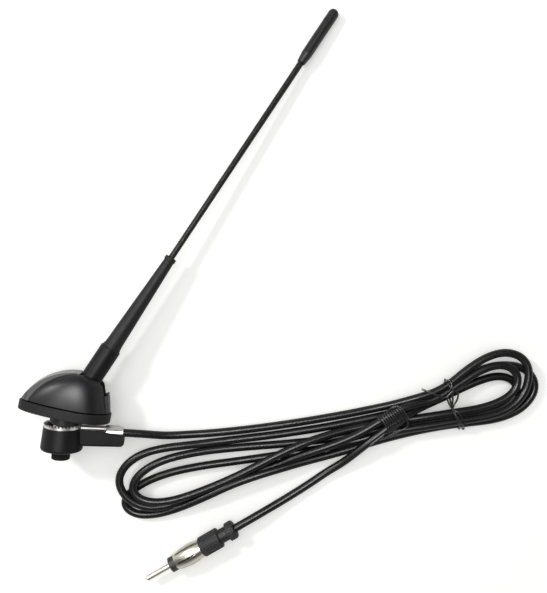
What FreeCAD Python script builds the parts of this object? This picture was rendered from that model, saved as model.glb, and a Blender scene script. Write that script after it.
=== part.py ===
import FreeCAD, Part
import math
import os

from FreeCAD import Placement, Rotation, Vector

os.makedirs("parts", exist_ok=True)

# Car roof antenna, lying on its side beside the hank of its own coax lead.
# All sizes are millimetres. The antenna is drawn in its own axes: the origin is where the
# clamp axis meets the roof face, X runs to the rear, Z runs away from the roof, and the
# two halves mirror across Y = 0. It is then laid down as one, and the lead lies around it.

# Fits between pieces
close_fit = 0.05
easy_fit = 0.3
moving_gap = 0.35

# Base, seen from above
base_front = 26.0
base_rear = 24.5
base_half_width = 14.5
widest_at = 9.5
outline_points = 24

# Rubber gasket between the base and the roof
gasket_height = 5.3
gasket_edge = 0.5
seal_groove_inset = 2.6
seal_groove_width = 1.6
seal_groove_depth = 1.0

# Dome cover
dome_step = 0.8
dome_height = 20.1
dome_wall = 2.2
crest_x = 4.3
rear_lean = 15.5
shoulder_radius = 5.0
band_half_width = 6.0
band_rise = 0.4
flank_power = 2.2
flank_levels = (0.0, 0.14, 0.3, 0.46, 0.62, 0.77, 0.88, 0.95, 0.985)
rim_shadow_height = 0.6
rim_shadow_depth = 0.5

# Mast axis and its pivot
pivot_x = 6.6
pivot_z = 15.4
mast_lean = 68.2
fold_angle = 40.0

# Mast foot, a knuckle and a round collar cast as one
knuckle_radius = 4.4
knuckle_half_width = 3.5
neck_radius = 3.4
collar_radius = 5.85
collar_start = 6.0
collar_top = 28.0
collar_chamfer = 0.8

# Pivot pin, its washers and the ears that hold it
pin_radius = 2.0
pin_head_radius = 3.0
pin_head_height = 0.9
washer_radius = 4.0
washer_thickness = 0.5
ear_thickness = 2.3
ear_radius = 4.6

# Bracket inside the dome
plate_thickness = 2.4
plate_gap = 1.0
spigot_radius = 8.0
spigot_length = 5.0
spigot_bore = 5.5
spigot_chamfer = 0.6

# Insulated contact in the spigot
bush_length = 9.0
insert_radius = 3.6
insert_bore = 2.55
insert_drop = 0.5
insert_mouth_radius = 3.1
insert_mouth_depth = 4.0
insert_head_radius = 3.4
insert_head_height = 0.9
leaf_thickness = 0.4
leaf_half_width = 2.3
leaf_run = 2.6
leaf_pad = 1.0

# Screws that hold the dome to the bracket
screw_places = ((-14.0, 0.0), (12.0, 8.6), (12.0, -8.6))
screw_radius = 1.1
screw_depth = 8.0
screw_head_radius = 2.0
screw_head_height = 1.5
screw_slot_width = 0.6
screw_slot_depth = 0.7
screw_end_gap = 1.0
post_radius = 1.9

# Screw-in mast, measured along its axis from the pivot
thread_radius = 2.9
thread_depth = 11.0
thread_bore_extra = 1.0
thread_clearance = 0.08
knurl_radius = 3.2
knurl_length = 8.0
seal_thickness = 1.0
seal_radius = 5.2
sleeve_base_radius = 4.95
sleeve_shoulder = 3.0
sleeve_low_radius = 4.72
sleeve_top_radius = 2.95
sleeve_length = 60.0
sleeve_rim_foot = 2.8
sleeve_rim_low = 2.2
sleeve_rim_high = 0.6
sleeve_rim_rise = 0.35
rod_radius = 1.65
rod_start = 32.5
cap_start = 223.0
mast_reach = 260.0
cap_radius = 3.1
cap_mouth_radius = 2.4
cap_shoulder = 6.0
cap_overlap = 8.0
cap_groove_from_tip = 8.5
cap_groove_width = 0.5
cap_groove_depth = 0.3

# Clamp below the roof: it hangs loose on its backed-out screw, so it leans
clamp_tilt = 7.0
screw_tip_z = -7.5
ring_above_tip = 1.0
ring_outer = 10.4
ring_inner = 8.9
ring_height = 2.2
tooth_count = 34
tooth_depth = 1.3
tooth_cutter_extra = 1.0
housing_top_radius = 10.6
housing_bottom_radius = 11.6
housing_height = 13.0
housing_edge = 1.6
housing_bore = 6.6
housing_bore_depth = 9.0
clamp_screw_radius = 2.5
clamp_head_flats = 9.6
clamp_head_height = 4.3
clamp_head_bevel = 0.8
clamp_head_bevel_in = 0.2
clamp_tip_bevel = 0.5
clamp_washer_radius = 5.9
clamp_washer_thickness = 0.8
terminal_radius = 5.6
terminal_thickness = 0.8
arm_end = 34.0
arm_step = 23.6
arm_half_width = 4.6
arm_top_drop = 0.3
arm_end_drop = 2.3
arm_depth = 9.8
arm_end_rise = 0.8
arm_corner = 1.6
arm_end_bevel = 1.5
arm_end_slope = 0.8
arm_above_seat = 1.0
tail_half_width = 3.0
tail_thickness = 0.8

# Lead and the crimped ferrule that it leaves the arm through
cable_radius = 2.3
ferrule_radius = 3.25
ferrule_start = 24.0
ferrule_length = 9.0
ferrule_drop = 2.0
hood_thickness = 0.7
hood_length = 7.0
hood_wall = 0.6
core_radius = 0.5
core_channel = 1.0
core_end_x = 4.6
core_start_gap = 0.2

# Resting attitude on the table
heading = -11.7
tail_dip = 9.44
settling_steps = 6

# The lead on the table. The points of its two open runs are chosen by hand, and the ones
# at the ferrule and the plug follow those pieces.
base_run_out = 7.5
base_run_inside = 8.4
base_run_points = ((-10.0, -117.3, 3.9), (4.2, -116.7, 2.4), (16.4, -115.6, 2.35))
plug_run_points = (
    (101.5, -125.0, 4.2), (86.5, -135.4, 2.5), (71.0, -146.2, 2.35), (54.5, -156.2, 3.0),
)
plug_run_out = 10.0
plug_run_inside = 4.0
arc_share = 0.45

# The tied hank, as the outer shape of its turns, with the eyes of its two loops
hank_height = 9.4
hank_edge = (
    (28.0, -112.8), (44.0, -111.3), (60.0, -108.8), (76.0, -106.3), (100.0, -101.8), (124.0, -95.8),
    (140.0, -91.3), (150.0, -86.3), (158.0, -79.8), (166.0, -73.8), (174.0, -69.8), (182.0, -67.6),
    (190.0, -68.3), (196.5, -72.8), (201.5, -80.3), (204.6, -88.4), (202.0, -96.3), (196.0, -103.0),
    (189.0, -106.8), (178.0, -110.2), (158.0, -112.8), (140.0, -115.8), (124.0, -119.3), (108.0, -123.3),
    (84.0, -130.8), (60.0, -136.8), (44.0, -141.3), (28.0, -146.8), (12.0, -154.3), (0.0, -159.8),
    (-12.0, -163.8), (-22.0, -165.0), (-30.0, -163.0), (-36.0, -156.0), (-39.0, -144.0), (-36.0, -134.8),
    (-30.0, -128.6), (-20.0, -123.8), (-4.0, -121.3), (8.0, -119.8), (14.0, -117.4), (19.0, -113.8),
)
lower_eye = (
    (-22.5, -148.6), (-12.0, -142.3), (4.0, -138.3), (18.0, -136.0), (30.0, -136.2), (20.0, -142.3),
    (4.0, -148.8), (-12.0, -152.3), (-20.0, -151.9),
)
upper_eye = (
    (-15.0, -137.6), (-8.0, -132.0), (4.0, -129.4), (18.0, -127.9), (23.5, -129.6), (18.0, -131.8),
    (4.0, -134.2), (-8.0, -136.7),
)
right_eye = (
    (147.0, -100.9), (154.0, -96.0), (162.0, -91.9), (170.0, -88.4), (178.0, -85.9), (185.0, -85.9),
    (187.8, -88.7), (182.0, -94.2), (174.0, -97.7), (162.0, -100.2), (153.0, -101.9),
)

# Thin wire ties round the hank
tie_gap = 0.1
wrap_wire_flank = 0.3
hank_tie_ends = ((149.9, -84.9), (161.1, -113.6))
hank_tie_wire = 1.2
hank_tie_width = 2.4
wrap_tie_ends = ((114.5, -110.5), (129.5, -101.3))
wrap_tie_height = 8.9
wrap_strand_spread = 2.5
wrap_radius = 2.85
wrap_wire_rise = 0.4
wrap_bore = 2.45
wrap_turns = 9
wrap_lead_in = 4.0

# Radio plug on the lead's far end, measured along its axis from the cable side
plug_rear = (29.6, -169.8)
plug_turn = 209.9
plug_axis_height = 5.8
flange_length = 5.0
flange_radius = 5.2
plug_neck_radius = 4.1
plug_neck_length = 4.5
handle_length = 12.5
handle_radius = 5.65
handle_edge = 0.5
handle_bore_length = 12.0
shield_length = 16.5
shield_rear_radius = 4.9
shield_bulge_radius = 5.75
shield_front_radius = 4.45
shield_bulge_share = 0.42
shield_wall = 0.5
shield_inset = 3.0
shield_slots = 6
shield_slot_width = 0.9
shield_slot_start = 3.2
shield_slot_end = 14.6
insulator_radius = 4.35
insulator_length = 3.5
insulator_stem_length = 6.0
plug_pin_radius = 1.5
plug_pin_length = 15.9
plug_pin_tip = 0.7
plug_pin_tip_slope = 0.6
plug_pin_root = 8.0
plug_pin_root_radius = 1.3


def disc(radius, low, high, x=0.0, y=0.0):
    return Part.makeCylinder(radius, high - low, Vector(x, y, low))


def ring(outer, inner, low, high, x=0.0, y=0.0):
    return disc(outer, low, high, x, y).cut(disc(inner, low, high, x, y))


def across(radius, left, right, x=0.0, z=0.0):
    """A round bar along Y."""
    return Part.makeCylinder(radius, right - left, Vector(x, left, z), Vector(0, 1, 0))


def along(radius, start, end, z=0.0):
    """A round bar along X."""
    return Part.makeCylinder(radius, end - start, Vector(start, 0, z), Vector(1, 0, 0))


def block(x0, x1, y0, y1, z0, z1):
    return Part.makeBox(x1 - x0, y1 - y0, z1 - z0, Vector(x0, y0, z0))


def turned(profile):
    """A solid turned about Z from (radius, height) corners."""
    corners = [Vector(r, 0, z) for r, z in profile]
    face = Part.Face(Part.makePolygon(corners + corners[:1]))
    return face.revolve(Vector(0, 0, 0), Vector(0, 0, 1), 360)


def side_cut(corners, left, right):
    """A prism across Y from corners given as (x, z)."""
    points = [Vector(x, left, z) for x, z in corners]
    face = Part.Face(Part.makePolygon(points + points[:1]))
    return face.extrude(Vector(0, right - left, 0))


def joined(solids):
    whole = solids[0].fuse(solids[1:]) if len(solids) > 1 else solids[0]
    return whole.removeSplitter()


def lowest(shape):
    return min(point.z for point in shape.tessellate(0.05)[0])


# Base outline: two half ovals that meet at the widest place, narrow in front
def outline(front, rear, half_width, widest, z):
    points = []
    for i in range(outline_points):
        turn = 2 * math.pi * i / outline_points
        reach = rear - widest if math.cos(turn) > 0 else front + widest
        points.append(Vector(widest + reach * math.cos(turn), half_width * math.sin(turn), z))
    curve = Part.BSplineCurve()
    curve.interpolate(points, PeriodicFlag=True)
    return Part.Wire(curve.toShape())


def base_prism(inset, low, high):
    """The base outline, drawn in by inset, between two heights."""
    wire = outline(base_front - inset, base_rear - inset, base_half_width - inset, widest_at, low)
    return Part.Face(wire).extrude(Vector(0, 0, high - low))


# Side profile of the dome: one long arc over the crest, then a leaning rear face
dome_nose = base_front - dome_step
dome_tail = base_rear - dome_step
dome_half_width = base_half_width - dome_step
crest_radius = ((crest_x + dome_nose) ** 2 + dome_height**2) / (2 * dome_height)
crest_centre_z = gasket_height + dome_height - crest_radius
rear_slope = math.tan(math.radians(rear_lean))


def dome_ends(z, drop):
    """How far the dome reaches in front and behind at this height."""
    reach = math.sqrt(max((crest_radius - drop) ** 2 - (z - crest_centre_z) ** 2, 0.0))
    leaning = dome_tail - drop - (z - gasket_height) * rear_slope
    return reach - crest_x, min(leaning, crest_x + reach)


def flank(drop):
    """The rounded body of the dome, drawn in by drop all over."""
    height = dome_height - drop
    half = dome_half_width - drop
    sections = []
    for level in flank_levels:
        z = gasket_height + level * height
        front, rear = dome_ends(z, drop)
        swell = (1 - level**flank_power) ** (1 / flank_power)
        width = band_half_width + (half - band_half_width) * swell
        middle = crest_x + (widest_at - crest_x) * (1 - level)
        sections.append(outline(front, rear, width, middle, z))
    return Part.makeLoft(sections, True, False)


def crest_band():
    """The flat-topped band that runs over the dome from its nose to the mast slot."""
    a = 1 + rear_slope**2
    foot = dome_tail + gasket_height * rear_slope
    b = -2 * (rear_slope * (foot - crest_x) + crest_centre_z)
    c = (foot - crest_x) ** 2 + crest_centre_z**2 - crest_radius**2
    shoulder_z = (-b + math.sqrt(b * b - 4 * a * c)) / (2 * a)
    shoulder_x = foot - shoulder_z * rear_slope
    left = -band_half_width
    nose = Vector(-dome_nose, left, gasket_height)
    top = Vector(crest_x, left, gasket_height + dome_height)
    shoulder = Vector(shoulder_x, left, shoulder_z)
    tail = Vector(dome_tail, left, gasket_height)
    over = Part.Arc(nose, top, shoulder).toShape()
    wire = Part.Wire([over, Part.makeLine(shoulder, tail), Part.makeLine(tail, nose)])
    band = Part.Face(wire).extrude(Vector(0, 2 * band_half_width, 0))
    edges = []
    for edge in band.Edges:
        ends = [v.Point for v in edge.Vertexes]
        if all(abs(p.x - shoulder_x) < 0.01 and abs(p.z - shoulder_z) < 0.01 for p in ends):
            edges.append(edge)
    band = band.makeFillet(shoulder_radius, edges)
    return band.common(base_prism(dome_step, gasket_height, gasket_height + dome_height))


# Directions in the side view
def mast_point(along_mast, offset, angle):
    """A point of the side view: so far along the mast's axis, and so far in front of it."""
    turn = math.radians(angle)
    x = pivot_x + along_mast * math.cos(turn) - offset * math.sin(turn)
    z = pivot_z + along_mast * math.sin(turn) + offset * math.cos(turn)
    return x, z


def mast_slot():
    """The slot that the collar stands in and folds back through."""
    off = collar_radius + moving_gap
    start = collar_start - 2 * moving_gap
    far = 2 * dome_height
    folded = mast_lean - fold_angle
    corners = [
        mast_point(start, off, mast_lean),
        mast_point(far, off, mast_lean),
        mast_point(far, 0, (mast_lean + folded) / 2),
        mast_point(far, -off, folded),
        mast_point(start, -off, folded),
    ]
    return side_cut(corners, -off, off)


def make_gasket():
    body = base_prism(0, 0, gasket_height)
    body = body.makeFillet(gasket_edge, body.Edges[:])
    body = body.cut(disc(spigot_radius + close_fit, 0, gasket_height))
    low, high = 0, seal_groove_depth
    outer = base_prism(seal_groove_inset, low, high)
    inner = base_prism(seal_groove_inset + seal_groove_width, low, high)
    body = body.cut(outer.cut(inner))
    for x, y in screw_places:
        pocket_floor = gasket_height - screw_head_height - easy_fit
        body = body.cut(disc(screw_head_radius + easy_fit, pocket_floor, gasket_height, x, y))
    return body


plate_top = gasket_height + plate_thickness


def make_dome():
    outside = flank(band_rise).fuse(crest_band())
    cavity = flank(dome_wall)
    shell = outside.cut(cavity)
    roof = gasket_height + dome_height
    for x, y in screw_places:
        post = disc(post_radius, plate_top, roof, x, y).common(outside)
        pilot = disc(screw_radius + close_fit, plate_top, plate_top + screw_depth, x, y)
        shell = shell.fuse(post).cut(pilot)
    shell = shell.cut(mast_slot())
    top = gasket_height + rim_shadow_height
    core = base_prism(dome_step + rim_shadow_depth, gasket_height, top)
    return shell.cut(base_prism(0, gasket_height, top).cut(core))


ear_inner = knuckle_half_width + washer_thickness + 2 * close_fit
ear_outer = ear_inner + ear_thickness


def make_bracket():
    inset = dome_step + dome_wall + plate_gap
    parts = [base_prism(inset, gasket_height, plate_top)]
    spigot = turned([
        (0, -spigot_length),
        (spigot_radius - spigot_chamfer, -spigot_length),
        (spigot_radius, -spigot_length + spigot_chamfer),
        (spigot_radius, plate_top),
        (0, plate_top),
    ])
    parts.append(spigot)
    body = joined(parts).cut(disc(spigot_bore, -spigot_length, plate_top))
    front, rear = pivot_x - ear_radius, pivot_x + ear_radius
    room = flank(dome_wall + easy_fit)
    for side in (-1, 1):
        left, right = sorted((side * ear_inner, side * ear_outer))
        ear = block(front, rear, left, right, gasket_height, pivot_z)
        ear = ear.fuse(across(ear_radius, left, right, pivot_x, pivot_z))
        body = body.fuse(ear.common(room))
    body = body.cut(disc(spigot_bore, -spigot_length, plate_top))
    body = body.cut(across(pin_radius + close_fit / 2, -ear_outer, ear_outer, pivot_x, pivot_z))
    for x, y in screw_places:
        body = body.cut(disc(screw_radius + easy_fit, gasket_height, plate_top, x, y))
    return body.removeSplitter()


def make_pivot_pin():
    end = ear_outer + close_fit
    pin = across(pin_radius, -end, end, pivot_x, pivot_z)
    for side in (-1, 1):
        left, right = sorted((side * end, side * (end + pin_head_height)))
        pin = pin.fuse(across(pin_head_radius, left, right, pivot_x, pivot_z))
    return pin.removeSplitter()


def make_pivot_washers():
    washers = []
    for side in (-1, 1):
        near = side * (knuckle_half_width + close_fit)
        far = side * (knuckle_half_width + close_fit + washer_thickness)
        left, right = sorted((near, far))
        washer = across(washer_radius, left, right, pivot_x, pivot_z)
        washers.append(washer.cut(across(pin_radius + close_fit, left, right, pivot_x, pivot_z)))
    return Part.makeCompound(washers)


def make_insulator_bush():
    return ring(spigot_bore - close_fit, insert_radius + close_fit, -bush_length, plate_top)


insert_low = -bush_length - insert_drop


def make_live_insert():
    return turned([
        (insert_mouth_radius, insert_low),
        (insert_radius, insert_low),
        (insert_radius, plate_top),
        (insert_head_radius + close_fit, plate_top),
        (insert_head_radius + close_fit, plate_top + insert_head_height),
        (insert_bore, plate_top + insert_head_height),
        (insert_bore, insert_low + insert_mouth_depth),
        (insert_mouth_radius, insert_low + insert_mouth_depth),
    ])


def make_contact_leaf():
    """A bent strip on the insert's head that presses up to the foot's knuckle."""
    low = plate_top + insert_head_height
    high = pivot_z - knuckle_radius - easy_fit
    t = leaf_thickness
    return side_cut([
        (-leaf_run, low),
        (leaf_run, low),
        (pivot_x - leaf_pad, high - t),
        (pivot_x + leaf_pad, high - t),
        (pivot_x + leaf_pad, high),
        (pivot_x - leaf_pad - t, high),
        (leaf_run - t, low + t),
        (-leaf_run, low + t),
    ], -leaf_half_width, leaf_half_width)


def make_cover_screws():
    screws = []
    low = gasket_height - screw_head_height
    for x, y in screw_places:
        head = disc(screw_head_radius, low, gasket_height, x, y)
        half = screw_slot_width / 2
        left, right = x - screw_head_radius, x + screw_head_radius
        slot = block(left, right, y - half, y + half, low, low + screw_slot_depth)
        shank = disc(screw_radius, gasket_height, plate_top + screw_depth - screw_end_gap, x, y)
        screws.append(head.cut(slot).fuse(shank).removeSplitter())
    return Part.makeCompound(screws)


# Mast pieces, drawn along Z from the pivot
mast_place = Placement(Vector(pivot_x, 0, pivot_z), Rotation(Vector(0, 1, 0), 90 - mast_lean))
seal_low = collar_top
sleeve_low = seal_low + seal_thickness
sleeve_top = sleeve_low + sleeve_length


def make_mast_foot():
    c = collar_chamfer
    collar = turned([
        (0, collar_start),
        (collar_radius - c, collar_start),
        (collar_radius, collar_start + c),
        (collar_radius, collar_top - c / 2),
        (collar_radius - c / 2, collar_top),
        (0, collar_top),
    ])
    knuckle = across(knuckle_radius, -knuckle_half_width, knuckle_half_width)
    foot = joined([collar, disc(neck_radius, 0, collar_start + c), knuckle])
    foot = foot.cut(across(pin_radius + close_fit, -knuckle_half_width, knuckle_half_width))
    bore = thread_radius + thread_clearance
    foot = foot.cut(disc(bore, collar_top - thread_depth - thread_bore_extra, collar_top))
    return foot


def make_seal_ring():
    return ring(seal_radius, thread_radius + thread_clearance, seal_low, sleeve_low)


def make_thread_insert():
    thread = disc(thread_radius, collar_top - thread_depth, sleeve_low)
    knurl = disc(knurl_radius, sleeve_low, sleeve_low + knurl_length)
    body = joined([thread, knurl])
    return body.cut(disc(rod_radius + close_fit, rod_start, sleeve_low + knurl_length))


def make_sleeve():
    rim = sleeve_top_radius + sleeve_rim_rise
    body = turned([
        (0, sleeve_low),
        (sleeve_base_radius, sleeve_low),
        (sleeve_low_radius, sleeve_low + sleeve_shoulder),
        (sleeve_top_radius, sleeve_top - sleeve_rim_foot),
        (rim, sleeve_top - sleeve_rim_low),
        (rim, sleeve_top - sleeve_rim_high),
        (sleeve_top_radius, sleeve_top),
        (0, sleeve_top),
    ])
    body = body.cut(disc(knurl_radius + close_fit, sleeve_low, sleeve_low + knurl_length + close_fit))
    return body.cut(disc(rod_radius + close_fit, sleeve_low, sleeve_top))


rod_top = cap_start + cap_overlap


def make_whip_rod():
    return disc(rod_radius, rod_start, rod_top)


def make_tip_cap():
    groove_high = mast_reach - cap_groove_from_tip
    groove_low = groove_high - cap_groove_width
    groove = cap_radius - cap_groove_depth
    body = turned([
        (0, cap_start),
        (cap_mouth_radius, cap_start),
        (cap_radius, cap_start + cap_shoulder),
        (cap_radius, groove_low),
        (groove, groove_low),
        (groove, groove_high),
        (cap_radius, groove_high),
        (cap_radius, mast_reach - cap_radius),
        (0, mast_reach - cap_radius),
    ])
    dome = Part.makeSphere(cap_radius, Vector(0, 0, mast_reach - cap_radius))
    body = body.fuse(dome).removeSplitter()
    return body.cut(disc(rod_radius + close_fit, cap_start, rod_top + close_fit))


# Clamp pieces, drawn with the ring's seat at height 0 and the arm along X
def make_earth_plate():
    body = ring(ring_outer, ring_inner, 0, ring_height)
    half = math.pi * ring_outer / tooth_count
    low = ring_height - tooth_depth
    inside = ring_inner - tooth_cutter_extra
    corners = [Vector(inside, 0, low), Vector(inside, half, ring_height), Vector(inside, -half, ring_height)]
    notch = Part.Face(Part.makePolygon(corners + corners[:1]))
    notch = notch.extrude(Vector(ring_outer + tooth_cutter_extra - inside, 0, 0))
    notches = []
    for i in range(tooth_count):
        copy = notch.copy()
        copy.rotate(Vector(0, 0, 0), Vector(0, 0, 1), 360.0 * i / tooth_count)
        notches.append(copy)
    body = body.cut(notches)
    start = (ring_outer + ring_inner) / 2
    hood_start = ferrule_start - hood_wall
    end = ferrule_start + hood_length
    tail_end = hood_start + tail_thickness
    tail_top = close_fit + tail_thickness
    tail = block(start, tail_end, -tail_half_width, tail_half_width, close_fit, tail_top)
    outer = ferrule_radius + close_fit + hood_thickness
    inside = along(ferrule_radius + close_fit, ferrule_start - close_fit, end, -ferrule_drop)
    hood = along(outer, hood_start, end, -ferrule_drop)
    hood = hood.common(block(hood_start, end, -outer, outer, close_fit, outer))
    return joined([body, tail, hood]).cut(inside)


def make_housing():
    body = turned([
        (0, -housing_height),
        (housing_bottom_radius, -housing_height),
        (housing_top_radius, 0),
        (0, 0),
    ])
    rim = [e for e in body.Edges if e.Closed and e.BoundBox.ZMax < -housing_height / 2]
    body = body.makeFillet(housing_edge, rim)
    arm = arm_section(arm_half_width, -arm_depth, arm_above_seat)
    arm = arm.common(side_cut([
        (0, -arm_depth),
        (arm_end - arm_end_bevel, -arm_depth + arm_end_rise),
        (arm_end, -arm_depth + arm_end_rise + arm_end_bevel),
        (arm_end, -arm_end_drop),
        (arm_step, -arm_end_drop + arm_end_slope),
        (arm_step, -arm_top_drop),
        (0, 0),
    ], -arm_half_width, arm_half_width))
    body = joined([body, arm])
    body = body.cut(disc(housing_bore, -housing_bore_depth, 0))
    body = body.cut(disc(clamp_screw_radius + easy_fit, -housing_height, 0))
    channel_end = arm_end + arm_end_bevel
    body = body.cut(along(ferrule_radius + close_fit, ferrule_start - close_fit, channel_end, -ferrule_drop))
    return body.cut(core_line(core_channel, ferrule_start))


def arm_section(half, low, high):
    """A bar along X whose two lower edges are rounded."""
    r = arm_corner
    a = Vector(0, -half, high)
    b = Vector(0, -half, low + r)
    c = Vector(0, -half + r, low)
    d = Vector(0, half - r, low)
    e = Vector(0, half, low + r)
    f = Vector(0, half, high)
    bend = r * (1 - math.sqrt(0.5))
    left = Part.Arc(b, Vector(0, -half + bend, low + bend), c).toShape()
    right = Part.Arc(d, Vector(0, half - bend, low + bend), e).toShape()
    wire = Part.Wire([
        Part.makeLine(a, b), left, Part.makeLine(c, d), right, Part.makeLine(e, f), Part.makeLine(f, a),
    ])
    return Part.Face(wire).extrude(Vector(arm_end, 0, 0))


terminal_top = -housing_bore_depth + terminal_thickness


def core_line(radius, start_x):
    """A straight round bar from the lead's end down to the terminal."""
    start = Vector(start_x, 0, -ferrule_drop)
    end = Vector(core_end_x, 0, terminal_top + core_radius + close_fit)
    run = end - start
    return Part.makeCylinder(radius, run.Length, start, run)


def make_clamp_screw():
    low = -housing_height - clamp_washer_thickness - clamp_head_height
    seat = -housing_height - clamp_washer_thickness
    corner = clamp_head_flats / math.sqrt(3)
    points = []
    for i in range(7):
        turn = math.radians(60 * i + 30)
        points.append(Vector(corner * math.cos(turn), corner * math.sin(turn), low))
    head = Part.Face(Part.makePolygon(points)).extrude(Vector(0, 0, clamp_head_height))
    edge = turned([
        (0, low),
        (clamp_head_flats / 2 - clamp_head_bevel_in, low),
        (corner + clamp_head_bevel_in, low + clamp_head_bevel),
        (corner + clamp_head_bevel_in, seat),
        (0, seat),
    ])
    tip = -ring_above_tip
    shank = turned([
        (0, seat),
        (clamp_screw_radius, seat),
        (clamp_screw_radius, tip - clamp_tip_bevel),
        (clamp_screw_radius - clamp_tip_bevel, tip),
        (0, tip),
    ])
    return joined([head.common(edge), shank])


def make_clamp_washer():
    low = -housing_height - clamp_washer_thickness
    return ring(clamp_washer_radius, clamp_screw_radius + close_fit, low, -housing_height)


def make_core_terminal():
    return ring(terminal_radius, clamp_screw_radius + easy_fit, -housing_bore_depth, terminal_top)


def make_ferrule():
    end = ferrule_start + ferrule_length
    body = along(ferrule_radius, ferrule_start, end, -ferrule_drop)
    return body.cut(along(cable_radius + close_fit, ferrule_start, end, -ferrule_drop))


def make_centre_conductor():
    return core_line(core_radius, ferrule_start + core_start_gap)


clamp_place = Placement(Vector(0, 0, screw_tip_z), Rotation(Vector(0, 1, 0), -clamp_tilt))
clamp_place = clamp_place.multiply(Placement(Vector(0, 0, ring_above_tip), Rotation()))

antenna = {
    "base_gasket": make_gasket(),
    "dome_cover": make_dome(),
    "base_bracket": make_bracket(),
    "pivot_pin": make_pivot_pin(),
    "pivot_washers": make_pivot_washers(),
    "insulator_bush": make_insulator_bush(),
    "live_insert": make_live_insert(),
    "contact_leaf": make_contact_leaf(),
    "cover_screws": make_cover_screws(),
}
on_mast = {
    "mast_foot": make_mast_foot(),
    "mast_seal_ring": make_seal_ring(),
    "mast_thread": make_thread_insert(),
    "mast_sleeve": make_sleeve(),
    "whip_rod": make_whip_rod(),
    "tip_cap": make_tip_cap(),
}
on_clamp = {
    "earth_plate": make_earth_plate(),
    "lead_housing": make_housing(),
    "clamp_screw": make_clamp_screw(),
    "clamp_washer": make_clamp_washer(),
    "core_terminal": make_core_terminal(),
    "lead_ferrule": make_ferrule(),
    "centre_conductor": make_centre_conductor(),
}


def moved(shape, placement):
    copy = shape.copy()
    copy.transformShape(placement.toMatrix(), True)
    return copy


for name, shape in on_mast.items():
    antenna[name] = moved(shape, mast_place)
for name, shape in on_clamp.items():
    antenna[name] = moved(shape, clamp_place)


# Lay the antenna down: its left side faces up, and the mast's tip settles on the table
def lying(roll):
    side = Rotation(Vector(1, 0, 0), -90)
    dip = Rotation(Vector(0, 1, 0), tail_dip)
    settle = Rotation(Vector(1, 0, 0), roll)
    turn = Rotation(Vector(0, 0, 1), heading)
    return Placement(Vector(0, 0, 0), turn.multiply(settle).multiply(dip).multiply(side))


roll = 0.0
for step in range(settling_steps):
    base_low = lowest(moved(antenna["base_gasket"], lying(roll)))
    tip_low = lowest(moved(antenna["tip_cap"], lying(roll)))
    roll += math.degrees((base_low - tip_low) / mast_reach)
print("roll", round(roll, 4), "base", round(base_low, 3), "tip", round(tip_low, 3))

lying_down = {name: moved(shape, lying(roll)) for name, shape in antenna.items()}
points = [p for shape in lying_down.values() for p in shape.tessellate(0.05)[0]]
middle_x = (min(p.x for p in points) + max(p.x for p in points)) / 2
middle_y = (min(p.y for p in points) + max(p.y for p in points)) / 2
floor_z = min(p.z for p in points)
to_origin = Placement(Vector(-middle_x, -middle_y, -floor_z), Rotation())
rest_place = to_origin.multiply(lying(roll))
print("stud origin at", [round(v, 4) for v in rest_place.Base])

node_shapes = {name: moved(shape, rest_place) for name, shape in antenna.items()}


# Lead: straight runs joined by tangent arcs
def tube(name, route):
    edges = []
    radii = []
    start = route[0]
    for i in range(1, len(route) - 1):
        back = (route[i - 1] - route[i]).normalize()
        ahead = (route[i + 1] - route[i]).normalize()
        run = min((route[i - 1] - route[i]).Length, (route[i + 1] - route[i]).Length)
        half_turn = (math.pi - back.getAngle(ahead)) / 2
        reach = arc_share * run
        radius = reach / math.tan(half_turn)
        radii.append(radius)
        enter = route[i] + back * reach
        leave = route[i] + ahead * reach
        towards = (back + ahead).normalize()
        middle = route[i] + towards * (radius / math.cos(half_turn) - radius)
        edges.append(Part.makeLine(start, enter))
        edges.append(Part.Arc(enter, middle, leave).toShape())
        start = leave
    edges.append(Part.makeLine(start, route[-1]))
    path = Part.Wire(edges)
    direction = route[1] - route[0]
    section = Part.Wire(Part.makeCircle(cable_radius, route[0], direction))
    body = path.makePipeShell([section], True, True)
    expected = math.pi * cable_radius**2 * path.Length
    print(name, "radii", [round(r) for r in radii], "length", round(path.Length, 1), "volume share",
          round(body.Volume / expected, 4))
    return body


def on_table(point, z):
    return Vector(point[0], point[1], z)


lead_place = rest_place.multiply(clamp_place)


def lead_axis(x):
    """A point on the ferrule's axis, at this distance along the arm."""
    return lead_place.multVec(Vector(x, 0, -ferrule_drop))


ferrule_end = ferrule_start + ferrule_length
base_route = [lead_axis(ferrule_end - base_run_inside), lead_axis(ferrule_end + base_run_out)]
base_route += [Vector(*point) for point in base_run_points]

plug_place = Placement(on_table(plug_rear, plug_axis_height), Rotation(Vector(0, 0, 1), plug_turn))
plug_route = [Vector(*point) for point in plug_run_points]
plug_route += [plug_place.multVec(Vector(x, 0, 0)) for x in (-plug_run_out, plug_run_inside)]
print("base route", [[round(v, 2) for v in p] for p in base_route])
print("plug route", [[round(v, 2) for v in p] for p in plug_route])


# Hank and its ties
def loop_prism(points, low, high):
    curve = Part.BSplineCurve()
    curve.interpolate([on_table(point, low) for point in points], PeriodicFlag=True)
    return Part.Face(Part.Wire(curve.toShape())).extrude(Vector(0, 0, high - low))


def span_place(ends, z):
    """A placement at the first end, with X towards the second, and the length between."""
    run = on_table(ends[1], z) - on_table(ends[0], z)
    angle = math.degrees(math.atan2(run.y, run.x))
    return Placement(on_table(ends[0], z), Rotation(Vector(0, 0, 1), angle)), run.Length


tie_place, tie_span = span_place(hank_tie_ends, 0)
wrap_place, wrap_length = span_place(wrap_tie_ends, wrap_tie_height)


def tie_core(spare):
    """The hank's section inside the tie, drawn in by spare."""
    inset = hank_tie_wire + spare
    half = hank_tie_width
    return block(inset, tie_span - inset, -half, half, inset, hank_height - inset)


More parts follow.
